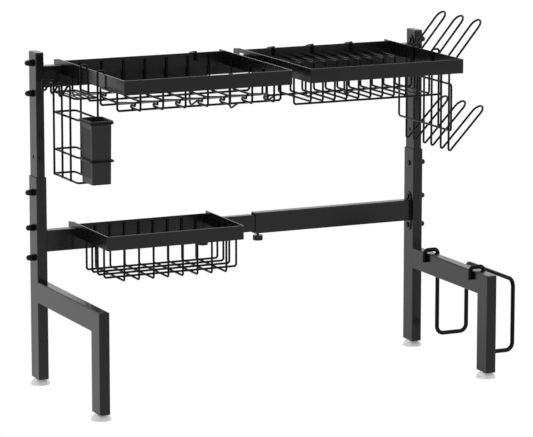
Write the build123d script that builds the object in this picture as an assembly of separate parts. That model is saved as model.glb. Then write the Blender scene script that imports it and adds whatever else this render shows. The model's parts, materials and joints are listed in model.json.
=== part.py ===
from build123d import *
from math import ceil, cos, radians, sin, tan
import os

# Over sink dish rack, in millimetres, +Z up, +X to the right, +Y to the back.
# Everything is laid out from the left side frame's outer face (x = 0), the rear posts'
# front face (y = 0) and the worktop (z = 0). The last step moves the origin to the middle
# of the finished rack's footprint.

overrun = 5.0            # how far a cutter runs past the face that it cuts
seat_gap = 0.3           # hang-on parts lie this far off what carries them

# side frames: one steel tube is the post and another the arm with the front leg
rack_width = 797.0
tube_wide = 20.0         # along X
tube_deep = 40.0         # along Y on the legs, along Z on the arm
tube_wall = 1.5
tube_round = 2.2         # outside radius of the rolled corners
leg_reach = 301.0        # front leg's front face, ahead of the rear post
foot_height = 12.0
arm_top = 196.8
sleeve_top = 391.0

# upper posts slide inside the rear posts
post_wide = 16.0
post_deep = 36.0
post_wall = 1.2
post_round = 2.0
post_top = 617.0
post_bottom = 312.0
cap_thick = 5.0
cap_plug_depth = 7.0
cap_play = 0.1
cap_round = 2.0

# crossbars: two outer tubes over one link tube at each height
bar_deep = 20.0          # along Y
bar_high = 40.0
bar_wall = 1.5
bar_round = 2.2
left_bar_end = 348.0     # x where the left outer tubes stop
right_bar_end = 446.0    # x where the right outer tubes start
link_deep = 16.0
link_high = 32.5
link_wall = 1.2
link_round = 2.0
link_overlap = 150.0     # length of link inside each outer tube
lower_bar_height = 270.0
upper_bar_height = 575.7
flange_wide = 24.0
flange_high = 76.0
flange_thick = 2.0
flange_drop = 2.0        # flanges are welded on this far below the bars' middle
flange_hole_spread = 56.0

# screws, washers, domed nuts
screw_size = 6.0
screw_hole = 6.4
thread_play = 0.05
screw_head_wide = 11.0
screw_head_high = 2.6
washer_wide = 14.0
washer_thick = 1.6
nut_flats = 11.0
nut_high = 6.0
dome_wide = 10.2
dome_high = 7.0
dome_shoulder_share = 0.86
nut_tip_wide = 4.0
pin_hole_pitch = 66.0    # spacing of the height holes in the upper posts

# thumb screws under the outer tubes, near their open ends
thumb_inset_left = 7.0
thumb_inset_right = 9.0
thumb_neck_wide = 5.0
thumb_knob_wide = 19.0
thumb_knob_high = 9.7
thumb_neck_high = 4.3
thumb_dish_wide = 11.0
thumb_dish_deep = 1.2
thumb_grip_count = 8
thumb_grip_wide = 3.0
thumb_running_gap = 0.1

# leg plugs and suction feet
plug_high = 14.0
plug_play = 0.1
foot_wide = 36.0
foot_lip_high = 1.6
foot_shoulder_wide = 20.0
foot_shoulder_height = 6.5
foot_neck_wide = 13.0
foot_collar_wide = 19.0
foot_collar_high = 2.4
foot_cup_wide = 30.0
foot_cup_deep = 3.5
foot_stem_wide = 7.0
foot_stem_high = 9.0

# tray frames: flat strip on edge, with tails that go over the bar
strip_thick = 2.0
strip_high = 26.0
rim_above_bar = 8.3
wall_stand_off = 0.3     # back wall ahead of the bar's front face
short_tail = 4.0         # right strips: length of the tail behind the bar
long_tail = 25.0         # left strips
long_tail_fall = 3.0     # drop of a long tail's top edge towards its end
tail_lip_deep = 5.0

bowl_left = 58.0
bowl_right = 384.0
bowl_reach = 284.0
plate_left = 420.7
plate_right = 731.0
plate_reach = 284.0
basket_left = 83.3
basket_right = 355.0
basket_reach = 137.0

wire = 4.0
wire_bend = 3.0          # bend radius of the repeated wires, each corner one flat
rim_inset = 5.0          # welded wire ends stop this far below the rim

# bowl tray wires
bowl_wire_count = 7
bowl_wire_pitch = 43.15
bowl_wire_inset = 32.35   # left face to the first wire
bowl_floor_drop = 55.3   # rim down to the middle of the floor wires
bowl_nose = 29.0         # front hump, behind the front face, as are the next three
bowl_crest = 38.0
bowl_tuck = 47.5
bowl_ramp_foot = 108.0
bowl_hump_count = 2
bowl_back_flat = 39.5    # level floor from the last ramp's foot to the rear posts' front
bowl_fold = 2.3          # radius of the two tight folds, to the wire's middle
fold_flats = 4
bowl_crest_rise = 9.6
bowl_rail_shares = (0.85, 0.575, 0.37, 0.095)    # of the tray's reach, from its back
bowl_rail_end = 13.0     # the rails' bent-up ends stop this far below the rim

# plate tray wires
plate_wire_count = 11
plate_wire_pitch = 24.3
plate_wire_inset = 34.85
plate_shoulder_drop = 19.0
plate_floor_drop = 71.0
plate_trough_front = 210.5
plate_trough_back = 72.0
plate_rail_inset = 7.0   # inside the trough's front
plate_rail_back = 12.0   # and inside its back
plate_rail_end = 17.0

# sink basket wires
basket_wire_count = 8
basket_wire_pitch = 29.04
basket_wire_inset = 34.2
basket_floor_drop = 84.3
basket_bend = 12.0
basket_rail_shares = (0.803, 0.577, 0.38, 0.179)
basket_rail_end = 8.0

# S hooks over the upper bar
hook_wire = 4.0
hook_places = (322.0, 404.0, 482.0, 563.0, 645.0)
hook_on_link = 1         # which of them hangs on the link tube
hook_front = 3.0
hook_behind_bar = 4.0
hook_short_leg = 18.5
hook_fall = 2.6          # drop of the top from the tray's wall to behind the bar
hook_drop = 108.0
hook_tip_front = 34.0
hook_tip_drop = 93.0
hook_top_bend = 4.6
hook_foot_bend = 8.0
hook_rise = 1.0          # room over the tray's back wall for the bend

# wire holder on the bowl tray's left side
holder_outer = 5.0       # x of the outer and inner long wires
holder_inner = 46.0
holder_back = 82.0       # ahead of the rear posts, as are the next five
holder_jog_back = 190.0  # the two upper rings widen from here
holder_jog_front = 196.5 # to here, to pass round the cup
holder_low_back = 75.0
holder_low_front = 193.0
holder_bend = 5.0
holder_ring_heights = (525.5, 458.0)
holder_low_height = 412.0
holder_top_height = 562.0
holder_top_back = 84.0
holder_top_front = 184.0
holder_top_bars = 3      # wires between the top ring's two long sides
holder_posts = (89.0, 129.5, 170.0)
holder_hangers = (97.6, 179.2)
holder_hook_rise = 28.7  # coat hooks' bend above the top ring
holder_hook_out = 20.5
holder_hook_fall = 30.7
holder_hook_tip_rise = 26.0
holder_hanger_leg = 26.0
hanger_rise = 2.4        # room over a rim for the bend of a hanging wire
hanger_bend = 3.0

# cutlery cup
cup_left = 10.0
cup_right = 48.5
cup_back = 199.5
cup_front = 249.5
cup_high = 113.8
cup_wall = 1.8
cup_slope = 1.2          # narrower at the foot, each side
cup_play = 0.4           # between the cup and the holder's rings
cup_flange = 3.0
cup_flange_thick = 2.0
cup_corner = 3.5
cup_panel_deep = 0.6
cup_panel_side = 7.0
cup_panel_top = 15.0
cup_panel_bottom = 12.0
cup_drain_hole = 5.0
cup_drain_spacing = 14.0
cup_drain_columns = 2
cup_drain_rows = 3

# cup rack on the plate tray's right side
rack_stand_off = 7.0     # plate's outer face to the middle of the ring
rack_ring_back = 13.0
rack_ring_front = 224.0
rack_ring_top = 549.0
rack_ring_bottom = 462.0
rack_loop_places = (52.0, 123.0, 192.0)
rack_loop_wide = 31.0
rack_upper_bend = 578.0
rack_lower_bend = 418.0
rack_upper_out = 70.0
rack_upper_tip = 662.0
rack_lower_out = 77.0
rack_lower_tip = 499.0
rack_tip_play = 0.2      # straight left between the two halves of a tip
rack_hangers = (90.0, 166.0)
rack_hanger_leg = 26.0

# board rod over the right arm
rod = 8.0
rod_bend = 14.0
rod_saddle_bend = 8.0
rod_saddle_rise = 2.5    # room for the saddle's bends over the arm's square corners
rod_back = 57.0          # ahead of the rear posts
rod_front = 241.0
rod_inner_bottom = 180.0
rod_low = 37.0
rod_high = 172.0
rod_out = 68.0           # arm's outer face to the far uprights


def block(x_range, y_range, z_range):
    """A box between two opposite corners."""
    size = [high - low for low, high in (x_range, y_range, z_range)]
    middle = [(high + low) / 2 for low, high in (x_range, y_range, z_range)]
    return Pos(*middle) * Box(*size)


def round_bar(start, direction, length, wide):
    """A cylinder from a start point along a direction."""
    axis = Plane(origin=start, z_dir=direction)
    return extrude(axis * Circle(wide / 2), length)


def tube_profile(wide, deep, wall, corner):
    """The section of a rectangular tube with rolled corners."""
    outside = RectangleRounded(wide, deep, corner)
    return outside - RectangleRounded(wide - 2 * wall, deep - 2 * wall, corner - wall)


def round_corners(points, radii, quarter_flats=1):
    """Replace each inner corner of a route by flats round an arc."""
    if isinstance(radii, float):
        radii = [radii] * (len(points) - 2)
    route = [Vector(*points[0])]
    for before, corner, after, radius in zip(points, points[1:], points[2:], radii):
        corner = Vector(*corner)
        arriving = (Vector(*before) - corner).normalized()
        leaving = (Vector(*after) - corner).normalized()
        opening = radians(arriving.get_angle(leaving))
        middle = corner + (arriving + leaving).normalized() * (radius / sin(opening / 2))
        reach = radius / tan(opening / 2)
        first = corner + arriving * reach - middle
        last = corner + leaving * reach - middle
        turn = radians(180) - opening
        flats = ceil(quarter_flats * turn / radians(91))
        for step in range(flats + 1):
            share = step / flats
            spoke = first * (sin(turn * (1 - share)) / sin(turn)) + last * (sin(turn * share) / sin(turn))
            route.append(middle + spoke)
    route.append(Vector(*points[-1]))
    return route


def sweep_wire(route, wide):
    """Sweep a round wire along straight runs that meet in mitres."""
    path = Polyline(*route)
    section = Plane(origin=path @ 0, z_dir=path % 0) * Circle(wide / 2)
    return sweep(section, path=path, transition=Transition.RIGHT)


def bent_wire(points, wide, radii, quarter_flats=1):
    """A round wire through the points, with flats round every bend."""
    return sweep_wire(round_corners(points, radii, quarter_flats), wide)


def smooth_wire(points, wide, radii):
    """A round wire through the points, with a true arc at every bend."""
    path = FilletPolyline(*points, radius=radii)
    section = Plane(origin=path @ 0, z_dir=path % 0) * Circle(wide / 2)
    return sweep(section, path=path)


def ring_wire(corners, wide, radius):
    """A closed flat ring of wire, welded up in the middle of one side."""
    start = (Vector(*corners[0]) + Vector(*corners[-1])) / 2
    points = [tuple(start), *corners, tuple(start)]
    route = round_corners(points, radius, 2)
    path = Polyline(*route[:-1], close=True)
    section = Plane(origin=route[0], z_dir=route[1] - route[0]) * Circle(wide / 2)
    return sweep(section, path=path, transition=Transition.RIGHT)


def across(shape):
    """The same piece on the other side of the rack."""
    return mirror(shape, Plane.YZ.offset(rack_width / 2))


# places that several pieces share
post_middle_y = tube_deep / 2
bar_front = post_middle_y - bar_deep / 2
bar_back = post_middle_y + bar_deep / 2
wall_back = bar_front - wall_stand_off
upper_post_face = (tube_wide + post_wide) / 2
screw_offset = flange_hole_spread / 2
lower_flange_height = lower_bar_height - flange_drop
upper_flange_height = upper_bar_height - flange_drop
bar_screw_heights = (
    lower_flange_height - screw_offset,
    lower_flange_height + screw_offset,
)
upper_screw_heights = (
    upper_flange_height - screw_offset,
    upper_flange_height + screw_offset,
)
lock_height = bar_screw_heights[1] + pin_hole_pitch
hook_back = bar_back + hook_behind_bar + hook_wire / 2
leg_places = (post_middle_y, -leg_reach + tube_deep / 2)
upper_bar_top = upper_bar_height + bar_high / 2
lower_bar_top = lower_bar_height + bar_high / 2
bowl_rim = upper_bar_top + rim_above_bar
plate_rim = upper_bar_top + rim_above_bar
basket_rim = lower_bar_top + rim_above_bar
bowl_hump_pitch = (bowl_reach - bowl_ramp_foot - bowl_back_flat) / (bowl_hump_count - 1)
back_wire_y = wall_back - strip_thick - wire / 2
cup_rim_height = holder_ring_heights[0] + wire / 2 + seat_gap + cup_flange_thick
cup_bottom = cup_rim_height - cup_high
panel_heights = (cup_bottom + cup_panel_bottom, cup_rim_height - cup_panel_top)


def side_hole(height, wide):
    """A cutter along X through a post at one height."""
    start = (-overrun, post_middle_y, height)
    return round_bar(start, (1, 0, 0), tube_wide + 2 * overrun, wide)


def make_side_frame():
    """Rear post with the arm and front leg welded to its front face."""
    arm_middle = arm_top - tube_deep / 2
    leg_middle = -leg_reach + tube_deep / 2
    route = Polyline(
        (tube_wide / 2, tube_wall, arm_middle),
        (tube_wide / 2, leg_middle, arm_middle),
        (tube_wide / 2, leg_middle, foot_height),
    )
    start = Plane(origin=route @ 0, x_dir=(1, 0, 0), z_dir=route % 0)
    arm_and_leg = sweep(
        start * tube_profile(tube_wide, tube_deep, tube_wall, tube_round),
        path=route,
        transition=Transition.RIGHT,
    )
    post_start = Plane(origin=(tube_wide / 2, post_middle_y, foot_height))
    post = extrude(
        post_start * tube_profile(tube_wide, tube_deep, tube_wall, tube_round),
        sleeve_top - foot_height,
    )
    frame = arm_and_leg + post
    for height in (*bar_screw_heights, lock_height):
        frame -= side_hole(height, screw_hole)
    return frame


def make_upper_post():
    """Inner tube that carries the upper bar, with its height holes."""
    start = Plane(origin=(tube_wide / 2, post_middle_y, post_bottom))
    post = extrude(
        start * tube_profile(post_wide, post_deep, post_wall, post_round),
        post_top - post_bottom,
    )
    for height in (*upper_screw_heights, lock_height, lock_height + pin_hole_pitch):
        post -= side_hole(height, screw_hole)
    return post


def make_post_cap():
    """Moulded cap with a plug that fits the upper post."""
    middle = (tube_wide / 2, post_middle_y)
    head = extrude(
        Plane(origin=(*middle, post_top)) * RectangleRounded(post_wide, post_deep, cap_round),
        cap_thick,
    )
    head = fillet(head.faces().sort_by(Axis.Z)[-1].edges(), cap_round)
    shrink = 2 * (post_wall + cap_play)
    plug_outline = RectangleRounded(post_wide - shrink, post_deep - shrink, post_round - post_wall)
    plug = extrude(Plane(origin=(*middle, post_top)) * plug_outline, -cap_plug_depth)
    return head + plug


def make_bar(thumb_x, face_x, end_x, middle_z, direction):
    """Outer tube of a crossbar with the flange welded to its end."""
    inner_x = face_x + direction * flange_thick
    flange_z = middle_z - flange_drop
    lengthwise = {"x_dir": (0, 1, 0), "z_dir": (direction, 0, 0)}
    tube_start = Plane(origin=(inner_x, post_middle_y, middle_z), **lengthwise)
    section = tube_profile(bar_deep, bar_high, bar_wall, bar_round)
    tube = extrude(tube_start * section, abs(end_x - inner_x))
    plate_start = Plane(origin=(face_x, post_middle_y, flange_z), **lengthwise)
    outline = SlotOverall(flange_high, flange_wide, rotation=90)
    bar = tube + extrude(plate_start * outline, flange_thick)
    for height in (flange_z - screw_offset, flange_z + screw_offset):
        hole_start = (face_x - direction * overrun, post_middle_y, height)
        bar -= round_bar(hole_start, (direction, 0, 0), flange_thick + 2 * overrun, screw_hole)
    thumb_hole = (thumb_x, post_middle_y, middle_z - bar_high / 2 - overrun)
    thumb_hole_wide = thumb_neck_wide + 2 * thumb_running_gap
    bar -= round_bar(thumb_hole, (0, 0, 1), bar_wall + 2 * overrun, thumb_hole_wide)
    return bar


def make_link(middle_z):
    """Inner tube that joins the two outer tubes of a crossbar."""
    start = Plane(
        origin=(left_bar_end - link_overlap, post_middle_y, middle_z),
        x_dir=(0, 1, 0),
        z_dir=(1, 0, 0),
    )
    length = right_bar_end - left_bar_end + 2 * link_overlap
    return extrude(start * tube_profile(link_deep, link_high, link_wall, link_round), length)


def make_thumb_screw(x, middle_z):
    """Knob under a bar, with a neck that reaches up to the link tube."""
    bar_bottom = middle_z - bar_high / 2
    knob_top = bar_bottom - thumb_neck_high
    neck_top = middle_z - link_high / 2 - seat_gap
    centre = (x, post_middle_y)
    knob = round_bar((*centre, knob_top), (0, 0, -1), thumb_knob_high, thumb_knob_wide)
    dish = round_bar((*centre, knob_top - thumb_knob_high), (0, 0, 1), thumb_dish_deep, thumb_dish_wide)
    knob -= dish
    for location in PolarLocations(thumb_knob_wide / 2, thumb_grip_count):
        groove = Cylinder(thumb_grip_wide / 2, 2 * thumb_knob_high)
        knob -= Pos(x, post_middle_y, knob_top - thumb_knob_high / 2) * location * groove
    neck = round_bar((*centre, knob_top), (0, 0, 1), neck_top - knob_top, thumb_neck_wide)
    return knob + neck


def make_screw(under_head, face, height, direction):
    """Pan head screw: its head bears on one face and its tip reaches into the domed nut."""
    start = (under_head, post_middle_y, height)
    head = round_bar(start, (direction, 0, 0), screw_head_high, screw_head_wide)
    head = fillet(head.edges().sort_by(Axis.X)[-1 if direction > 0 else 0], screw_head_high / 2)
    length = abs(under_head - face) + washer_thick + nut_high
    shank = round_bar(start, (-direction, 0, 0), length, screw_size)
    return head + shank


def make_washer(face, height, direction):
    """Flat washer between a post's outer face and the nut."""
    start = (face, post_middle_y, height)
    disc = round_bar(start, (-direction, 0, 0), washer_thick, washer_wide)
    return disc - round_bar(start, (-direction, 0, 0), washer_thick, screw_hole)


def make_nut(face, height, direction):
    """Domed nut, bored to the depth of its screw."""
    seat = Plane(
        origin=(face - direction * washer_thick, post_middle_y, height),
        z_dir=(-direction, 0, 0),
    )
    hexagon = extrude(seat * RegularPolygon(nut_flats / 2, side_count=6, major_radius=False), nut_high)
    dome = loft([
        seat.offset(nut_high) * Circle(dome_wide / 2),
        seat.offset(nut_high + dome_high / 2) * Circle(dome_wide * dome_shoulder_share / 2),
        seat.offset(nut_high + dome_high) * Circle(nut_tip_wide / 2),
    ])
    bore = extrude(seat * Circle(screw_size / 2 + thread_play), nut_high)
    return hexagon + dome - bore


def make_leg_plugs():
    """Plastic plugs in the two leg ends, bored for the feet."""
    width = tube_wide - 2 * (tube_wall + plug_play)
    depth = tube_deep - 2 * (tube_wall + plug_play)
    plugs = []
    for y in leg_places:
        start = Plane(origin=(tube_wide / 2, y, foot_height))
        plug = extrude(start * RectangleRounded(width, depth, tube_round - tube_wall), plug_high)
        plugs.append(plug - extrude(start * Circle(foot_stem_wide / 2 + plug_play), foot_stem_high))
    return plugs


def make_foot(y):
    """Suction foot: flared cup, neck, collar under the leg and a stem in the plug."""
    profile = make_face(Polyline(
        (0, foot_cup_deep),
        (foot_cup_wide / 2, 0),
        (foot_wide / 2, 0),
        (foot_wide / 2, foot_lip_high),
        (foot_shoulder_wide / 2, foot_shoulder_height),
        (foot_neck_wide / 2, foot_shoulder_height),
        (foot_neck_wide / 2, foot_height - foot_collar_high),
        (foot_collar_wide / 2, foot_height - foot_collar_high),
        (foot_collar_wide / 2, foot_height),
        (foot_stem_wide / 2, foot_height),
        (foot_stem_wide / 2, foot_height + foot_stem_high),
        (0, foot_height + foot_stem_high),
        close=True,
    ))
    foot = revolve(Plane.XZ * profile, Axis.Z)
    return Pos(tube_wide / 2, y, 0) * foot


def side_strip(x, reach, rim, tail, fall):
    """A strip on edge that runs back over the bar and down behind it."""
    bottom = rim - strip_high
    over_bar = rim - rim_above_bar + seat_gap
    lip_front = bar_back + seat_gap
    outline = Polyline(
        (-reach, bottom),
        (wall_back, bottom),
        (wall_back, over_bar),
        (lip_front, over_bar),
        (lip_front, over_bar - tail_lip_deep),
        (lip_front + tail, over_bar - tail_lip_deep),
        (lip_front + tail, rim - fall),
        (lip_front, rim),
        (-reach, rim),
        close=True,
    )
    seat = Plane(origin=(x, 0, 0), x_dir=(0, 1, 0), z_dir=(1, 0, 0))
    return extrude(seat * make_face(outline), strip_thick)


def make_tray_frame(left, right, reach, rim):
    """Four strips on edge, the left one with the longer tail."""
    heights = (rim - strip_high, rim)
    frame = side_strip(left, reach, rim, long_tail, long_tail_fall)
    frame += side_strip(right - strip_thick, reach, rim, short_tail, 0)
    frame += block((left, right), (-reach, -reach + strip_thick), heights)
    frame += block((left, right), (wall_back - strip_thick, wall_back), heights)
    return frame


def wire_rows(first, count, pitch):
    """Even wire places, from the first one on."""
    return [first + pitch * number for number in range(count)]


def front_wire_y(reach):
    """The middle of the welded wire ends behind a tray's front wall."""
    return -reach + strip_thick + wire / 2


def fold_point(middle, side, step):
    """A point on a half-turn fold that bulges to the back (1) or to the front (-1)."""
    angle = radians(180) * step / fold_flats
    return Vector(0, middle[0] + side * bowl_fold * sin(angle), middle[1] - bowl_fold * cos(angle))


def make_bowl_wires(rim):
    """Front-to-back wires with hooked humps that hold bowls upright."""
    floor = rim - bowl_floor_drop
    top = rim - rim_inset
    front = front_wire_y(bowl_reach)
    humps = []
    for number in range(bowl_hump_count):
        face = bowl_hump_pitch * number - bowl_reach
        tuck_middle = (face + bowl_tuck - bowl_fold, floor + bowl_fold)
        nose_middle = (face + bowl_nose + bowl_fold, floor + bowl_crest_rise - bowl_fold)
        humps += [fold_point(tuck_middle, 1, step) for step in range(fold_flats + 1)]
        humps += [fold_point(nose_middle, -1, step) for step in range(fold_flats + 1)]
        humps.append(Vector(0, face + bowl_crest, floor + bowl_crest_rise))
        humps.append(Vector(0, face + bowl_ramp_foot, floor))
    leg = round_corners([(0, front, top), (0, front, floor), humps[0]], wire_bend)
    back = round_corners([humps[-1], (0, back_wire_y, floor), (0, back_wire_y, top)], wire_bend)
    one = sweep_wire(leg[:-1] + humps + back[1:], wire)
    rows = wire_rows(bowl_left + bowl_wire_inset, bowl_wire_count, bowl_wire_pitch)
    return [Pos(x, 0, 0) * one for x in rows]


def make_plate_wires(rim):
    """Front-to-back wires that drop into one trough for the plates' edges."""
    shoulder = rim - plate_shoulder_drop
    floor = rim - plate_floor_drop
    one = bent_wire([
        (0, -plate_reach + strip_thick, shoulder),
        (0, -plate_trough_front, shoulder),
        (0, -plate_trough_front, floor),
        (0, -plate_trough_back, floor),
        (0, -plate_trough_back, shoulder),
        (0, back_wire_y + wire / 2, shoulder),
    ], wire, wire_bend)
    rows = wire_rows(plate_left + plate_wire_inset, plate_wire_count, plate_wire_pitch)
    return [Pos(x, 0, 0) * one for x in rows]


def make_basket_wires(rim):
    """Front-to-back wires with a rounded foot, hung from the basket's frame."""
    floor = rim - basket_floor_drop
    top = rim - rim_inset
    front = front_wire_y(basket_reach)
    one = bent_wire([
        (0, front, top),
        (0, front, floor),
        (0, back_wire_y, floor),
        (0, back_wire_y, top),
    ], wire, basket_bend, 2)
    rows = wire_rows(basket_left + basket_wire_inset, basket_wire_count, basket_wire_pitch)
    return [Pos(x, 0, 0) * one for x in rows]


def make_rails(left, right, places, height, top):
    """Side-to-side wires with both ends bent up inside the side strips."""
    first = left + strip_thick + wire / 2
    last = right - strip_thick - wire / 2
    return [
        bent_wire([
            (first, -place, top),
            (first, -place, height),
            (last, -place, height),
            (last, -place, top),
        ], wire, wire_bend)
        for place in places
    ]


def make_s_hook(x, seat_height):
    """Bent wire hook that drops behind the bar and opens towards the front below it."""
    top = seat_height + hook_wire / 2
    return smooth_wire([
        (x, hook_front, top - hook_short_leg),
        (x, hook_front, top),
        (x, hook_back, top - hook_fall),
        (x, hook_back, top - hook_drop),
        (x, hook_back - hook_tip_front, top - hook_tip_drop),
    ], hook_wire, [hook_top_bend, hook_top_bend, hook_foot_bend])


def make_holder_rings():
    """Two level wire rings that widen round the cup, with plain ones below and on top."""
    cup_room = cup_play + wire / 2
    rings = []
    for height in holder_ring_heights:
        rings.append(ring_wire([
            (holder_outer, -holder_back, height),
            (holder_outer, -holder_jog_back, height),
            (cup_left - cup_room, -holder_jog_front, height),
            (cup_left - cup_room, -cup_front - cup_room, height),
            (cup_right + cup_room, -cup_front - cup_room, height),
            (cup_right + cup_room, -holder_jog_front, height),
            (holder_inner, -holder_jog_back, height),
            (holder_inner, -holder_back, height),
        ], wire, holder_bend))
    for back, front, height in (
        (holder_low_back, holder_low_front, holder_low_height),
        (holder_top_back, holder_top_front, holder_top_height),
    ):
        rings.append(ring_wire([
            (holder_outer, -back, height),
            (holder_outer, -front, height),
            (holder_inner, -front, height),
            (holder_inner, -back, height),
        ], wire, holder_bend))
    bar_pitch = (holder_inner - holder_outer) / (holder_top_bars + 1)
    bar_long = holder_top_front - holder_top_back - wire
    for x in wire_rows(holder_outer + bar_pitch, holder_top_bars, bar_pitch):
        start = (x, -holder_top_back - wire / 2, holder_top_height)
        rings.append(round_bar(start, (0, -1, 0), bar_long, wire))
    return rings


def make_holder_posts():
    """Outer uprights that end in coat hooks, and inner ones that hang on the tray's rim."""
    outer = holder_outer - wire
    inner = holder_inner + wire
    post_foot = holder_low_height
    hook_top = holder_top_height + holder_hook_rise
    hook_bottom = hook_top - holder_hook_fall
    posts = [
        bent_wire([
            (outer, -place, post_foot),
            (outer, -place, hook_top),
            (outer - holder_hook_out, -place, hook_bottom),
            (outer - holder_hook_out, -place, hook_bottom + holder_hook_tip_rise),
        ], wire, wire_bend, 2)
        for place in holder_posts
    ]
    over_rim = bowl_rim + hanger_rise + wire / 2
    inside_strip = bowl_left + strip_thick + seat_gap + wire / 2
    for place in holder_hangers:
        posts.append(smooth_wire([
            (inner, -place, post_foot),
            (inner, -place, over_rim),
            (inside_strip, -place, over_rim),
            (inside_strip, -place, over_rim - holder_hanger_leg),
        ], wire, hanger_bend))
    return posts


def panel_section(middle, side, height):
    """Slice of the shallow panel sunk in a tapered side of the cup."""
    lean = cup_slope * (cup_rim_height - height) / (cup_rim_height - cup_bottom)
    face = (cup_right - cup_left) / 2 - lean
    centre_x = middle[0] + side * (face - cup_panel_deep + overrun / 2)
    place = Plane(origin=(centre_x, middle[1], height))
    return place * Rectangle(overrun, cup_front - cup_back - 2 * cup_panel_side)


def make_cup():
    """Moulded cup with a flange that rests on the holder's top ring."""
    middle = ((cup_left + cup_right) / 2, -(cup_back + cup_front) / 2)
    width = cup_right - cup_left
    depth = cup_front - cup_back
    rim_under = cup_rim_height - cup_flange_thick

    def section(height, inset, corner):
        place = Plane(origin=(*middle, height))
        return place * RectangleRounded(width - 2 * inset, depth - 2 * inset, corner)

    outside = loft([section(cup_bottom, cup_slope, cup_corner), section(cup_rim_height, 0, cup_corner)])
    flange = extrude(
        section(rim_under, -cup_flange, cup_corner + cup_flange),
        cup_flange_thick,
    )
    inside = loft([
        section(cup_bottom + cup_wall, cup_slope + cup_wall, cup_corner - cup_wall),
        section(cup_rim_height, cup_wall, cup_corner - cup_wall),
    ])
    cup = outside + flange - inside
    for side in (1, -1):
        cup -= loft([panel_section(middle, side, height) for height in panel_heights])
    holes = GridLocations(cup_drain_spacing, cup_drain_spacing, cup_drain_columns, cup_drain_rows)
    for location in holes:
        drill = Cylinder(cup_drain_hole / 2, 2 * cup_wall + 2 * overrun)
        cup -= Pos(*middle, cup_bottom) * location * drill
    return cup


def make_rack_ring():
    """Flat wire ring beside the plate tray, with two hooks over the tray's rim."""
    ring_x = plate_right + rack_stand_off
    hanger_x = ring_x + wire
    ring = ring_wire([
        (ring_x, -rack_ring_back, rack_ring_bottom),
        (ring_x, -rack_ring_front, rack_ring_bottom),
        (ring_x, -rack_ring_front, rack_ring_top),
        (ring_x, -rack_ring_back, rack_ring_top),
    ], wire, holder_bend)
    over_rim = plate_rim + hanger_rise + wire / 2
    inside_strip = plate_right - strip_thick - seat_gap - wire / 2
    hangers = [
        bent_wire([
            (hanger_x, -place, rack_ring_bottom),
            (hanger_x, -place, over_rim),
            (inside_strip, -place, over_rim),
            (inside_strip, -place, over_rim - rack_hanger_leg),
        ], wire, hanger_bend)
        for place in rack_hangers
    ]
    return [ring, *hangers]


def make_rack_loops():
    """Closed wire loops whose two round ends stand out and up as cup prongs."""
    x = plate_right + rack_stand_off + wire
    half_wide = rack_loop_wide / 2
    tip_bend = half_wide - rack_tip_play
    loops = []
    for place in rack_loop_places:
        half = smooth_wire([
            (x + rack_lower_out, -place, rack_lower_tip),
            (x + rack_lower_out, -place - half_wide, rack_lower_tip),
            (x, -place - half_wide, rack_lower_bend),
            (x, -place - half_wide, rack_upper_bend),
            (x + rack_upper_out, -place - half_wide, rack_upper_tip),
            (x + rack_upper_out, -place, rack_upper_tip),
        ], wire, [tip_bend, wire_bend, wire_bend, tip_bend])
        loops.append(half + mirror(half, Plane.XZ.offset(place)))
    return loops


def make_board_rod():
    """One bent rod: two saddles over the right arm joined by a bar out at the side."""
    inner = rack_width - tube_wide - seat_gap - rod / 2
    outer = rack_width + seat_gap + rod / 2
    top = arm_top + rod_saddle_rise + rod / 2
    far = rack_width + rod_out
    half = [
        (inner, rod_inner_bottom),
        (inner, top),
        (outer, top),
        (outer, rod_low),
        (far, rod_low),
        (far, rod_high),
    ]
    bends = [rod_saddle_bend, rod_saddle_bend, rod_bend, rod_bend, rod_bend]
    points = [(px, -rod_back, pz) for px, pz in half]
    points += [(px, -rod_front, pz) for px, pz in reversed(half)]
    return smooth_wire(points, rod, bends + bends[::-1])


nodes = {}


def add(name, *shapes):
    """File solids under a node's name."""
    nodes.setdefault(name, []).extend(shapes)


# side frames, upper posts, caps, plugs and feet, left and right
side_pieces = {
    "side_frame": [make_side_frame()],
    "upper_post": [make_upper_post()],
    "post_cap": [make_post_cap()],
    "leg_plugs": make_leg_plugs(),
    "rear_foot": [make_foot(leg_places[0])],
    "front_foot": [make_foot(leg_places[1])],
}
for name, shapes in side_pieces.items():
    add("left_" + name, *shapes)
    add("right_" + name, *[across(shape) for shape in shapes])

# crossbars
left_thumb_x = left_bar_end - thumb_inset_left
right_thumb_x = right_bar_end + thumb_inset_right
levels = {
    "lower": (lower_bar_height, tube_wide),
    "upper": (upper_bar_height, upper_post_face),
}
for level, (middle_z, face) in levels.items():
    right_face = rack_width - face
    add(level + "_bar_left", make_bar(left_thumb_x, face, left_bar_end, middle_z, 1))
    add(level + "_bar_right", make_bar(right_thumb_x, right_face, right_bar_end, middle_z, -1))
    add(level + "_bar_link", make_link(middle_z))
    add(level + "_left_thumb_screw", make_thumb_screw(left_thumb_x, middle_z))
    add(level + "_right_thumb_screw", make_thumb_screw(right_thumb_x, middle_z))

# screws: height, the face under the head, the face under the washer
outer_upper_face = (tube_wide - post_wide) / 2
screw_places = [(height, tube_wide + flange_thick, 0) for height in bar_screw_heights]
upper_under_head = upper_post_face + flange_thick
screw_places += [(height, upper_under_head, outer_upper_face) for height in upper_screw_heights]
screw_places.append((lock_height, tube_wide, 0))
for height, under_head, face in screw_places:
    screw = make_screw(under_head, face, height, 1)
    washer = make_washer(face, height, 1)
    nut = make_nut(face, height, 1)
    add("left_screws", screw)
    add("left_washers", washer)
    add("left_nuts", nut)
    add("right_screws", across(screw))
    add("right_washers", across(washer))
    add("right_nuts", across(nut))

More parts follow.
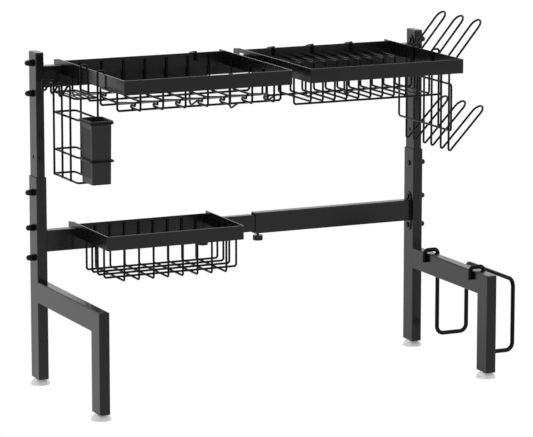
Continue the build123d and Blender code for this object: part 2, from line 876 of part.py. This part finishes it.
# trays
add("bowl_tray_frame", make_tray_frame(bowl_left, bowl_right, bowl_reach, bowl_rim))
add("bowl_tray_cross_wires", *make_bowl_wires(bowl_rim))
bowl_rail_places = [bowl_reach * share for share in bowl_rail_shares]
bowl_rail_levels = (bowl_rim - bowl_floor_drop - wire, bowl_rim - bowl_rail_end)
add("bowl_tray_rails", *make_rails(bowl_left, bowl_right, bowl_rail_places, *bowl_rail_levels))

add("plate_tray_frame", make_tray_frame(plate_left, plate_right, plate_reach, plate_rim))
add("plate_tray_cross_wires", *make_plate_wires(plate_rim))
plate_rail_places = (plate_trough_front - plate_rail_inset, plate_trough_back + plate_rail_back)
plate_rail_levels = (plate_rim - plate_floor_drop - wire, plate_rim - plate_rail_end)
add("plate_tray_rails", *make_rails(plate_left, plate_right, plate_rail_places, *plate_rail_levels))

add("sink_basket_frame", make_tray_frame(basket_left, basket_right, basket_reach, basket_rim))
add("sink_basket_cross_wires", *make_basket_wires(basket_rim))
basket_rail_places = [basket_reach * share for share in basket_rail_shares]
basket_rail_levels = (basket_rim - basket_floor_drop + wire, basket_rim - basket_rail_end)
basket_rails = make_rails(basket_left, basket_right, basket_rail_places, *basket_rail_levels)
add("sink_basket_rails", *basket_rails)

# S hooks: one rests on the link tube's back edge, the others on the trays' back walls
link_top = upper_bar_height + link_high / 2
link_back = post_middle_y + link_deep / 2
link_share = (link_back - hook_front) / (hook_back - hook_front)
link_seat = link_top + seat_gap + hook_fall * link_share
for number, x in enumerate(hook_places):
    seat_height = link_seat if number == hook_on_link else bowl_rim + hook_rise
    add("s_hook_" + str(number + 1), make_s_hook(x, seat_height))

# hang-on holders
add("side_holder_rings", *make_holder_rings())
add("side_holder_uprights", *make_holder_posts())
add("utensil_cup", make_cup())
add("cup_rack_ring", *make_rack_ring())
add("cup_rack_loops", *make_rack_loops())
add("board_rod", make_board_rod())

# put the origin under the middle of the rack and write every node
everything = Compound(children=[Compound(children=list(shapes)) for shapes in nodes.values()])
box = everything.bounding_box()
shift = Pos(-box.center().X, -box.center().Y, -box.min.Z)
print("shift", -box.center().X, -box.center().Y, -box.min.Z)
print("size", box.size)
os.makedirs("parts", exist_ok=True)
for name, shapes in nodes.items():
    moved = [shift * solid for shape in shapes for solid in shape.solids()]
    piece = moved[0] if len(moved) == 1 else Compound(children=moved)
    export_step(piece, "parts/" + name + ".step")
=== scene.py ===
import json
import math

import bmesh
import bpy
from mathutils import Matrix, Vector

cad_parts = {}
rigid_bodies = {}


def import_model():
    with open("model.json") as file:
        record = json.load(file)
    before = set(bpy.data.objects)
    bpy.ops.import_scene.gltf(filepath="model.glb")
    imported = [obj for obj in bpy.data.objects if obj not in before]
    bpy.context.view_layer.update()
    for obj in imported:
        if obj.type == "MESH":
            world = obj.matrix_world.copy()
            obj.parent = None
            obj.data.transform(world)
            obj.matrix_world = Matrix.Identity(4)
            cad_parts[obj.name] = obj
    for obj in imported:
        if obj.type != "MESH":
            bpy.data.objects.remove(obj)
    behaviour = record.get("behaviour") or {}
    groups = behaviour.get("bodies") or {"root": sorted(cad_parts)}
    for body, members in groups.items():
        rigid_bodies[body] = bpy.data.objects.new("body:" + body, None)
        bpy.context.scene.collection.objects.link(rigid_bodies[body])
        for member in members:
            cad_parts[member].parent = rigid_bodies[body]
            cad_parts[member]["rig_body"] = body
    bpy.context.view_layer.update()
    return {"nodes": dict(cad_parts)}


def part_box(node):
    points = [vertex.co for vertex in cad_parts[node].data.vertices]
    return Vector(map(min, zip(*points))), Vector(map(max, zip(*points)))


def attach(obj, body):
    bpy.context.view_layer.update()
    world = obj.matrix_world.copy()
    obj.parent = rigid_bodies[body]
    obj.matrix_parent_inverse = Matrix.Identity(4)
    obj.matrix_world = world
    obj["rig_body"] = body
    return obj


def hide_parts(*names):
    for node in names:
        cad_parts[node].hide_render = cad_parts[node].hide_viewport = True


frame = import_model()
nodes = frame["nodes"]
mm = 0.001
quarterTurn = math.radians(90.0)
fullTurn = math.radians(360.0)
print("stage: frame loaded,", len(nodes), "nodes")


# shader nodes and the group that every finish shares

def addNode(tree, kind, values=None, **settings):
    node = tree.nodes.new(kind)
    for key, value in settings.items():
        setattr(node, key, value)
    for key, value in (values or {}).items():
        node.inputs[key].default_value = value
    return node


def makeGroup(name, inputs, outputs):
    group = bpy.data.node_groups.new(name, "ShaderNodeTree")
    for label, kind, value in inputs:
        socket = group.interface.new_socket(name=label, in_out="INPUT", socket_type=kind)
        socket.default_value = value
    for label, kind in outputs:
        group.interface.new_socket(name=label, in_out="OUTPUT", socket_type=kind)
    enter = group.nodes.new("NodeGroupInput")
    leave = group.nodes.new("NodeGroupOutput")
    return group, enter, leave


grainSettings = {
    "peelScale": 900.0, "peelDetail": 2.0,
    "mottleScale": 14.0, "mottleDetail": 3.0, "mottleLow": 0.35, "mottleHigh": 0.65,
}


def buildGrainGroup(settings):
    group, enter, leave = makeGroup(
        "surfaceGrain",
        [
            ("Peel Scale", "NodeSocketFloat", settings["peelScale"]),
            ("Mottle Scale", "NodeSocketFloat", settings["mottleScale"]),
        ],
        [("Height", "NodeSocketFloat"), ("Mottle", "NodeSocketFloat")],
    )
    coords = addNode(group, "ShaderNodeTexCoord")
    peel = addNode(group, "ShaderNodeTexNoise", {"Detail": settings["peelDetail"]})
    mottle = addNode(group, "ShaderNodeTexNoise", {"Detail": settings["mottleDetail"]})
    spread = addNode(group, "ShaderNodeMapRange", {
        "From Min": settings["mottleLow"], "From Max": settings["mottleHigh"],
    })
    link = group.links.new
    link(coords.outputs["Object"], peel.inputs["Vector"])
    link(coords.outputs["Object"], mottle.inputs["Vector"])
    link(enter.outputs["Peel Scale"], peel.inputs["Scale"])
    link(enter.outputs["Mottle Scale"], mottle.inputs["Scale"])
    link(mottle.outputs["Fac"], spread.inputs["Value"])
    link(peel.outputs["Fac"], leave.inputs["Height"])
    link(spread.outputs["Result"], leave.inputs["Mottle"])
    return group


surfaceGrain = buildGrainGroup(grainSettings)


# finishes: an orange-peel bump and a slight mottle over near-black coats, and pale silicone

finishLooks = {
    "powderCoat": {
        "dark": (0.0036, 0.0036, 0.0038), "light": (0.005, 0.005, 0.0052),
        "roughLow": 0.17, "roughHigh": 0.24, "specular": 0.36,
        "peelScale": 1400.0, "mottleScale": 9.0, "bumpStrength": 0.25, "bumpHeight": 0.12 * mm,
    },
    "wireCoat": {
        "dark": (0.003, 0.003, 0.0031), "light": (0.0042, 0.0042, 0.0044),
        "roughLow": 0.16, "roughHigh": 0.22, "specular": 0.12,
        "peelScale": 1800.0, "mottleScale": 20.0, "bumpStrength": 0.2, "bumpHeight": 0.06 * mm,
    },
    "blackFixings": {
        "dark": (0.0022, 0.0022, 0.0023), "light": (0.0034, 0.0034, 0.0035),
        "roughLow": 0.12, "roughHigh": 0.2, "specular": 0.25,
        "peelScale": 2200.0, "mottleScale": 40.0, "bumpStrength": 0.1, "bumpHeight": 0.03 * mm,
    },
    "capPlastic": {
        "dark": (0.0035, 0.0035, 0.0035), "light": (0.005, 0.005, 0.005),
        "roughLow": 0.2, "roughHigh": 0.26, "specular": 0.5,
        "peelScale": 2600.0, "mottleScale": 30.0, "bumpStrength": 0.2, "bumpHeight": 0.04 * mm,
    },
    "cupPlastic": {
        "dark": (0.0055, 0.0055, 0.0055), "light": (0.0075, 0.0075, 0.0077),
        "roughLow": 0.38, "roughHigh": 0.46, "specular": 0.42,
        "peelScale": 2000.0, "mottleScale": 16.0, "bumpStrength": 0.35, "bumpHeight": 0.1 * mm,
    },
    "cupPanel": {
        "dark": (0.0045, 0.0045, 0.0045), "light": (0.006, 0.006, 0.0062),
        "roughLow": 0.5, "roughHigh": 0.58, "specular": 0.31,
        "peelScale": 900.0, "mottleScale": 16.0, "bumpStrength": 0.5, "bumpHeight": 0.14 * mm,
    },
    "footSilicone": {
        "dark": (0.90, 0.91, 0.91), "light": (0.95, 0.96, 0.96),
        "roughLow": 0.4, "roughHigh": 0.5, "specular": 0.3,
        "peelScale": 700.0, "mottleScale": 60.0, "bumpStrength": 0.05, "bumpHeight": 0.02 * mm,
    },
}


def makeFinish(name, look):
    material = bpy.data.materials.new(name)
    material.use_nodes = True
    tree = material.node_tree
    shader = tree.nodes["Principled BSDF"]
    shader.inputs["Specular IOR Level"].default_value = look["specular"]
    grain = addNode(tree, "ShaderNodeGroup")
    grain.node_tree = surfaceGrain
    grain.inputs["Peel Scale"].default_value = look["peelScale"]
    grain.inputs["Mottle Scale"].default_value = look["mottleScale"]
    colour = addNode(tree, "ShaderNodeMix", data_type="RGBA")
    colour.inputs["A"].default_value = (*look["dark"], 1.0)
    colour.inputs["B"].default_value = (*look["light"], 1.0)
    rough = addNode(tree, "ShaderNodeMapRange", {
        "To Min": look["roughLow"], "To Max": look["roughHigh"],
    })
    bump = addNode(tree, "ShaderNodeBump", {
        "Strength": look["bumpStrength"], "Distance": look["bumpHeight"],
    })
    link = tree.links.new
    link(grain.outputs["Mottle"], colour.inputs["Factor"])
    link(grain.outputs["Mottle"], rough.inputs["Value"])
    link(grain.outputs["Height"], bump.inputs["Height"])
    link(colour.outputs["Result"], shader.inputs["Base Color"])
    link(rough.outputs["Result"], shader.inputs["Roughness"])
    link(bump.outputs["Normal"], shader.inputs["Normal"])
    return material


finishes = {name: makeFinish(name, look) for name, look in finishLooks.items()}


# the first row with a word of the node's name gives its finish, and the rest is powder coated

finishWords = (
    ("footSilicone", ("foot",)),
    ("cupPlastic", ("utensil_cup",)),
    ("capPlastic", ("cap", "plugs", "thumb")),
    ("blackFixings", ("screws", "washers", "nuts")),
    ("wireCoat", ("wires", "rails", "hook", "holder", "rack", "rod")),
)


def finishFor(nodeName):
    for finishName, words in finishWords:
        if any(word in nodeName for word in words):
            return finishes[finishName]
    return finishes["powderCoat"]


for nodeName, nodeObject in nodes.items():
    nodeObject.data.materials.clear()
    nodeObject.data.materials.append(finishFor(nodeName))
print("stage: finishes on the frame")


# helpers for shapes and pieces

shapeSettings = {"joinWithin": 0.002 * mm, "sharpFrom": math.radians(34.0)}


def looseParts(shape):
    left = set(shape.verts)
    parts = []
    while left:
        part = set()
        queue = [left.pop()]
        while queue:
            vert = queue.pop()
            part.add(vert)
            joined = [edge.other_vert(vert) for edge in vert.link_edges]
            queue += [other for other in joined if other in left]
            left.difference_update(joined)
        parts.append(list(part))
    return parts


def boxOf(verts):
    low = Vector(min(vert.co[axis] for vert in verts) for axis in range(3))
    high = Vector(max(vert.co[axis] for vert in verts) for axis in range(3))
    return low, high


def joinVerts(shape):
    bmesh.ops.remove_doubles(shape, verts=shape.verts, dist=shapeSettings["joinWithin"])


def shapeOf(source):
    shape = bmesh.new()
    shape.from_mesh(source.data)
    joinVerts(shape)
    return shape


def solidBoxes(source):
    shape = shapeOf(source)
    boxes = [boxOf(part) for part in looseParts(shape)]
    shape.free()
    return boxes


def sharpEdges(shape):
    return [
        edge for edge in shape.edges
        if len(edge.link_faces) == 2 and edge.calc_face_angle() > shapeSettings["sharpFrom"]
    ]


def bevelEdges(shape, edges, offset, segments):
    bmesh.ops.bevel(
        shape, geom=edges, offset=offset, offset_type="OFFSET", affect="EDGES",
        segments=segments, profile=0.5, material=-1, clamp_overlap=True,
    )


def spinOutline(shape, points, centre, axis, steps):
    verts = [shape.verts.new(point) for point in points]
    edges = [shape.edges.new(pair) for pair in zip(verts, verts[1:])]
    bmesh.ops.spin(
        shape, geom=verts + edges, cent=centre, axis=axis, angle=fullTurn,
        steps=steps, use_merge=True, dvec=(0.0, 0.0, 0.0),
    )


def smoothFaces(shape):
    for face in shape.faces:
        face.smooth = True
    for edge in sharpEdges(shape):
        edge.smooth = False


def placeSkin(nodeName, data):
    skin = bpy.data.objects.new(nodeName + "_skin", data)
    bpy.context.scene.collection.objects.link(skin)
    data.materials.append(finishFor(nodeName))
    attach(skin, nodes[nodeName]["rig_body"])
    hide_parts(nodeName)
    return skin


def skinFromShape(nodeName, shape):
    mesh = bpy.data.meshes.new(nodeName + "_skin")
    shape.to_mesh(mesh)
    shape.free()
    return placeSkin(nodeName, mesh)


# the holder's top bars are of thinner wire, which the photo shows as separate lines

barSettings = {
    "widest": 6.0 * mm,      # the bars run front to back, and only they are this narrow across
    "thinner": 0.6,
}


def thinTopBars(shape, settings):
    for part in looseParts(shape):
        low, high = boxOf(part)
        if high.x - low.x < settings["widest"]:
            shrink = (settings["thinner"], 1.0, settings["thinner"])
            bmesh.ops.scale(shape, vec=shrink, space=Matrix.Translation(-(low + high) / 2), verts=part)


# the S hooks' tops lean down behind the wall that they hang on

hookSettings = {
    "topBand": 12.0 * mm,
    "lean": 0.115,           # fall for each length behind the hook's front
    "drop": 0.3 * mm,
}


def leanHookTop(shape, settings):
    low, high = boxOf(shape.verts)
    top = [vert for vert in shape.verts if vert.co.z > high.z - settings["topBand"]]
    pivot = Vector((0.0, boxOf(top)[0].y, 0.0))
    lean = Matrix.Identity(4)
    lean[2][1] = -settings["lean"]
    lean[2][3] = -settings["drop"]
    bmesh.ops.transform(shape, matrix=lean, space=Matrix.Translation(-pivot), verts=top)


# the cup is a little deeper than its solid, and the sunk panel on each side is textured

cupSettings = {
    "deeper": 4.0 * mm,
    "facing": 0.9,           # least share of a face's normal that points to its side
    "panelSlot": 1,
}


def deepenCup(shape, settings):
    low, high = boxOf(shape.verts)
    middle = (low.y + high.y) / 2
    back = [vert for vert in shape.verts if vert.co.y > middle]
    bmesh.ops.translate(shape, vec=(0.0, settings["deeper"], 0.0), verts=back)


def markCupPanels(shape, settings):
    low, high = boxOf(shape.verts)
    middle = (low.x + high.x) / 2
    for side in (-1, 1):
        outside = [
            face for face in shape.faces
            if face.normal.x * side > settings["facing"]
            and (face.calc_center_median().x - middle) * side > 0.0
        ]
        max(outside, key=lambda face: face.calc_area()).material_index = settings["panelSlot"]


# visible skins: each is its node's own shape with broken edges and smooth bends

skinSettings = {
    "flatWithin": math.radians(0.5),
    "edgeRounds": {          # radius that the coating leaves on each kind of edge
        "side_frame": 0.9 * mm, "upper_post": 0.9 * mm, "post_cap": 0.7 * mm,
        "bar": 0.8 * mm, "tray_frame": 0.4 * mm, "basket_frame": 0.4 * mm,
        "utensil_cup": 0.5 * mm, "washers": 0.15 * mm, "screws": 0.2 * mm,
        "thumb": 0.3 * mm, "plugs": 0.4 * mm,
    },
    "edgeSteps": 2,
    "stripBend": 1.8 * mm,   # the strips' outer corners are bent, not cut
    "stripHigh": 20.0 * mm,
    "stripArea": 400.0 * mm * mm,
    "bendSteps": 4,
}


def bendStripCorners(shape, settings):
    bends = [
        edge for edge in sharpEdges(shape)
        if edge.is_convex
        and abs(edge.verts[0].co.z - edge.verts[1].co.z) > settings["stripHigh"]
        and min(face.calc_area() for face in edge.link_faces) > settings["stripArea"]
    ]
    bevelEdges(shape, bends, settings["stripBend"], settings["bendSteps"])


def edgeRoundFor(nodeName, settings):
    for word, radius in settings["edgeRounds"].items():
        if word in nodeName:
            return radius
    return 0.0


def makeSkin(nodeName, settings):
    shape = shapeOf(nodes[nodeName])
    if nodeName == "utensil_cup":
        deepenCup(shape, cupSettings)
    if nodeName == "side_holder_rings":
        thinTopBars(shape, barSettings)
    if nodeName.startswith("s_hook"):
        leanHookTop(shape, hookSettings)
    bmesh.ops.dissolve_limit(
        shape, angle_limit=settings["flatWithin"], verts=shape.verts, edges=shape.edges,
    )
    if nodeName.endswith(("tray_frame", "basket_frame")):
        bendStripCorners(shape, settings)
    radius = edgeRoundFor(nodeName, settings)
    if radius:
        bevelEdges(shape, sharpEdges(shape), radius, settings["edgeSteps"])
    smoothFaces(shape)
    if nodeName == "utensil_cup":
        markCupPanels(shape, cupSettings)
    skin = skinFromShape(nodeName, shape)
    flat = skin.modifiers.new("flatFaces", "WEIGHTED_NORMAL")
    flat.keep_sharp = True
    return skin


footNames = [name for name in nodes if name.endswith("_foot")]
remade = ["left_nuts", "right_nuts", "sink_basket_cross_wires", *footNames]
skins = {name: makeSkin(name, skinSettings) for name in nodes if name not in remade}
skins["utensil_cup"].data.materials.append(finishes["cupPanel"])
print("stage: skins,", sum(len(skin.data.polygons) for skin in skins.values()), "faces")


# silicone feet: a shallow cup under a soft shoulder, as shares of the node's radius and height

footSettings = {
    "shoulderShares": (
        (1.0, 0.0), (1.0, 0.06), (0.93, 0.2), (0.74, 0.42), (0.5, 0.62), (0.3, 0.75), (0.24, 1.0),
    ),
    "cupShares": ((0.9, 0.0), (0.62, 0.1), (0.0, 0.16)),
    "spinSteps": 40,
}


def makeFoot(nodeName, settings):
    low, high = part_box(nodeName)
    wide = (high.x - low.x) / 2
    tall = high.z - low.z
    seat = Vector(((low.x + high.x) / 2, (low.y + high.y) / 2, low.z))
    outline = [(0.0, 1.0), *reversed(settings["shoulderShares"]), *settings["cupShares"]]
    points = [seat + Vector((out * wide, 0.0, up * tall)) for out, up in outline]
    shape = bmesh.new()
    spinOutline(shape, points, seat, (0.0, 0.0, 1.0), settings["spinSteps"])
    joinVerts(shape)
    bmesh.ops.recalc_face_normals(shape, faces=shape.faces)
    for face in shape.faces:
        face.smooth = True
    skinFromShape(nodeName, shape)


for footName in footNames:
    makeFoot(footName, footSettings)
print("stage: feet ready")


# the basket's cross wires have tighter bends than its solids

basketWireSettings = {"bend": 4.5 * mm, "bendSteps": 6, "roundSteps": 3}


def roundCorner(before, corner, after, radius, steps):
    arriving = (before - corner).normalized()
    leaving = (after - corner).normalized()
    opening = arriving.angle(leaving)
    middle = corner + (arriving + leaving).normalized() * (radius / math.sin(opening / 2))
    spoke = corner + arriving * (radius / math.tan(opening / 2)) - middle
    axis = leaving.cross(arriving)
    turn = math.pi - opening
    return [middle + Matrix.Rotation(turn * step / steps, 3, axis) @ spoke for step in range(steps + 1)]


def basketWireRoute(low, high, wireRadius, settings):
    x = (low.x + high.x) / 2
    front, back = low.y + wireRadius, high.y - wireRadius
    floor = low.z + wireRadius
    route = [Vector(place) for place in (
        (x, front, high.z), (x, front, floor), (x, back, floor), (x, back, high.z),
    )]
    points = [route[0]]
    for before, corner, after in zip(route, route[1:], route[2:]):
        points += roundCorner(before, corner, after, settings["bend"], settings["bendSteps"])
    points.append(route[-1])
    return points


def makeBasketWires(nodeName, settings):
    curve = bpy.data.curves.new(nodeName + "_skin", "CURVE")
    curve.dimensions = "3D"
    curve.resolution_u = 1
    curve.use_fill_caps = True
    curve.bevel_resolution = settings["roundSteps"]
    for low, high in solidBoxes(nodes[nodeName]):
        wireRadius = (high.x - low.x) / 2
        curve.bevel_depth = wireRadius
        points = basketWireRoute(low, high, wireRadius, settings)
        spline = curve.splines.new("POLY")
        spline.points.add(len(points) - 1)
        for target, point in zip(spline.points, points):
            target.co = (*point, 1.0)
    placeSkin(nodeName, curve)


makeBasketWires("sink_basket_cross_wires", basketWireSettings)
print("stage: basket wires ready")


# domed nuts: a hexagon, a neck and a round dome

nutSettings = {
    "sides": 6, "flats": 11.0 * mm, "hexHigh": 6.0 * mm, "hexRound": 0.5 * mm, "hexRoundSteps": 2,
    "neckWide": 8.0 * mm, "neckHigh": 0.7 * mm,
    "domeWide": 10.4 * mm, "domeBand": 1.6 * mm, "domeArcSteps": 7, "spinSteps": 28,
}


def addNutHexagon(shape, seat, direction, settings):
    hexHigh = settings["hexHigh"]
    corner = settings["flats"] / 2 / math.cos(math.pi / settings["sides"])
    turn = Matrix.Rotation(quarterTurn * direction, 4, "Y")
    middle = Matrix.Translation(seat + Vector((direction * hexHigh / 2, 0.0, 0.0)))
    hexagon = bmesh.ops.create_cone(
        shape, cap_ends=True, cap_tris=False, segments=settings["sides"],
        radius1=corner, radius2=corner, depth=hexHigh, matrix=middle @ turn,
    )["verts"]
    rims = {edge for vert in hexagon for edge in vert.link_edges}
    bevelEdges(shape, list(rims), settings["hexRound"], settings["hexRoundSteps"])


def addNutDome(shape, seat, direction, long, settings):
    neck = settings["neckWide"] / 2
    dome = settings["domeWide"] / 2
    start = settings["hexHigh"] - settings["hexRound"]
    band = settings["hexHigh"] + settings["neckHigh"]
    arcStart = band + settings["domeBand"]
    outline = [(start, 0.0), (start, neck), (band, neck), (band, dome)]
    for step in range(settings["domeArcSteps"]):
        angle = quarterTurn * step / (settings["domeArcSteps"] - 1)
        outline.append((arcStart + (long - arcStart) * math.sin(angle), dome * math.cos(angle)))
    points = [seat + Vector((direction * along, 0.0, out)) for along, out in outline]
    spinOutline(shape, points, seat, (1.0, 0.0, 0.0), settings["spinSteps"])


def makeNuts(nodeName, direction, settings):
    shape = bmesh.new()
    for low, high in solidBoxes(nodes[nodeName]):
        seat = (low + high) / 2
        seat.x = high.x if direction < 0 else low.x
        addNutHexagon(shape, seat, direction, settings)
        addNutDome(shape, seat, direction, high.x - low.x, settings)
    joinVerts(shape)
    bmesh.ops.recalc_face_normals(shape, faces=shape.faces)
    smoothFaces(shape)
    skinFromShape(nodeName, shape)


makeNuts("left_nuts", -1, nutSettings)
makeNuts("right_nuts", 1, nutSettings)
print("stage: nuts ready")


# camera, at the photograph's angle

photoView = {
    "place": (-2.51705, -5.38905, 1.4116),      # fitted to the photograph's straight edges
    "yaw": math.radians(24.89),      # turned from straight ahead towards +X
    "pitch": math.radians(10.55),    # looking down
    "lens": 220.25, "sensor": 36.0, "nearest": 0.1, "furthest": 60.0,
}


def makeCamera(settings):
    data = bpy.data.cameras.new("photoCamera")
    data.lens = settings["lens"]
    data.sensor_width = settings["sensor"]
    data.clip_start = settings["nearest"]
    data.clip_end = settings["furthest"]
    camera = bpy.data.objects.new("photoCamera", data)
    camera.location = settings["place"]
    camera.rotation_euler = (quarterTurn - settings["pitch"], 0.0, -settings["yaw"])
    bpy.context.scene.collection.objects.link(camera)
    bpy.context.scene.camera = camera


makeCamera(photoView)
print("stage: camera ready")


# studio: a floor and a surround that are white to the camera, and reflect bright on one side only

studio = {
    "floorSize": 14.0, "floorDrop": 0.2 * mm, "floorColour": (0.92, 0.92, 0.92), "floorRough": 0.9,
    "brightSide": (-0.64, 0.77, 0.0),
    "shadeReach": 0.35,      # metres on the floor, and a share of the direction in the surround
    "dimLevel": 0.16, "brightLevel": 1.0, "worldLight": 0.55,
    "lamps": [               # name, place, target, size and power
        ("keyLeftRear", (-3.2, 2.0, 0.7), (0.0, 0.0, 0.35), 1.6, 14.0),
        ("fillRight", (2.6, -3.2, 1.4), (0.0, 0.0, 0.3), 1.6, 14.0),
        ("topSoft", (0.0, 0.3, 3.2), (0.0, 0.0, 0.3), 2.4, 40.0),
    ],
}


def surroundLevel(tree, place, settings):
    path = addNode(tree, "ShaderNodeLightPath")
    along = addNode(tree, "ShaderNodeVectorMath", operation="DOT_PRODUCT")
    along.inputs[1].default_value = settings["brightSide"]
    shade = addNode(tree, "ShaderNodeMapRange", {
        "From Min": -settings["shadeReach"], "From Max": settings["shadeReach"],
        "To Min": settings["dimLevel"], "To Max": settings["brightLevel"],
    })
    seen = addNode(tree, "ShaderNodeMath", operation="MAXIMUM")
    reflected = addNode(tree, "ShaderNodeMath", operation="MULTIPLY")
    level = addNode(tree, "ShaderNodeMath", operation="MAXIMUM")
    link = tree.links.new
    link(place, along.inputs[0])
    link(along.outputs["Value"], shade.inputs["Value"])
    link(path.outputs["Is Camera Ray"], seen.inputs[0])
    link(path.outputs["Is Transmission Ray"], seen.inputs[1])
    link(path.outputs["Is Glossy Ray"], reflected.inputs[0])
    link(shade.outputs["Result"], reflected.inputs[1])
    link(seen.outputs[0], level.inputs[0])
    link(reflected.outputs[0], level.inputs[1])
    return level.outputs[0]


def makeFloorMaterial(settings):
    material = bpy.data.materials.new("studioFloor")
    material.use_nodes = True
    tree = material.node_tree
    shader = tree.nodes["Principled BSDF"]
    shader.inputs["Base Color"].default_value = (*settings["floorColour"], 1.0)
    shader.inputs["Roughness"].default_value = settings["floorRough"]
    shader.inputs["Specular IOR Level"].default_value = 0.0
    glow = addNode(tree, "ShaderNodeEmission", {"Color": (1.0, 1.0, 1.0, 1.0)})
    mixer = addNode(tree, "ShaderNodeMixShader")
    place = addNode(tree, "ShaderNodeTexCoord").outputs["Object"]
    tree.links.new(surroundLevel(tree, place, settings), mixer.inputs["Fac"])
    tree.links.new(shader.outputs["BSDF"], mixer.inputs[1])
    tree.links.new(glow.outputs["Emission"], mixer.inputs[2])
    tree.links.new(mixer.outputs["Shader"], tree.nodes["Material Output"].inputs["Surface"])
    return material


def makeFloor(settings):
    shape = bmesh.new()
    bmesh.ops.create_grid(shape, x_segments=1, y_segments=1, size=settings["floorSize"] / 2)
    mesh = bpy.data.meshes.new("studioFloor")
    shape.to_mesh(mesh)
    shape.free()
    mesh.materials.append(makeFloorMaterial(settings))
    floor = bpy.data.objects.new("studioFloor", mesh)
    floor.location.z = -settings["floorDrop"]
    bpy.context.scene.collection.objects.link(floor)


def makeWorld(settings):
    world = bpy.data.worlds.new("studioWorld")
    bpy.context.scene.world = world
    world.use_nodes = True
    tree = world.node_tree
    background = tree.nodes["Background"]
    ahead = addNode(tree, "ShaderNodeTexCoord").outputs["Generated"]
    level = settings["worldLight"]
    shade = addNode(tree, "ShaderNodeMix", data_type="RGBA")
    shade.inputs["A"].default_value = (level, level, level, 1.0)
    shade.inputs["B"].default_value = (1.0, 1.0, 1.0, 1.0)
    tree.links.new(surroundLevel(tree, ahead, settings), shade.inputs["Factor"])
    tree.links.new(shade.outputs["Result"], background.inputs["Color"])


def makeLamp(name, place, target, size, power):
    data = bpy.data.lights.new(name, "AREA")
    data.shape = "SQUARE"
    data.size = size
    data.energy = power
    lamp = bpy.data.objects.new(name, data)
    lamp.location = place
    aim = Vector(target) - Vector(place)
    lamp.rotation_euler = aim.to_track_quat("-Z", "Y").to_euler()
    bpy.context.scene.collection.objects.link(lamp)


makeFloor(studio)
makeWorld(studio)
for lampRow in studio["lamps"]:
    makeLamp(*lampRow)
bpy.context.scene.view_settings.view_transform = "Standard"
print("stage: studio ready")
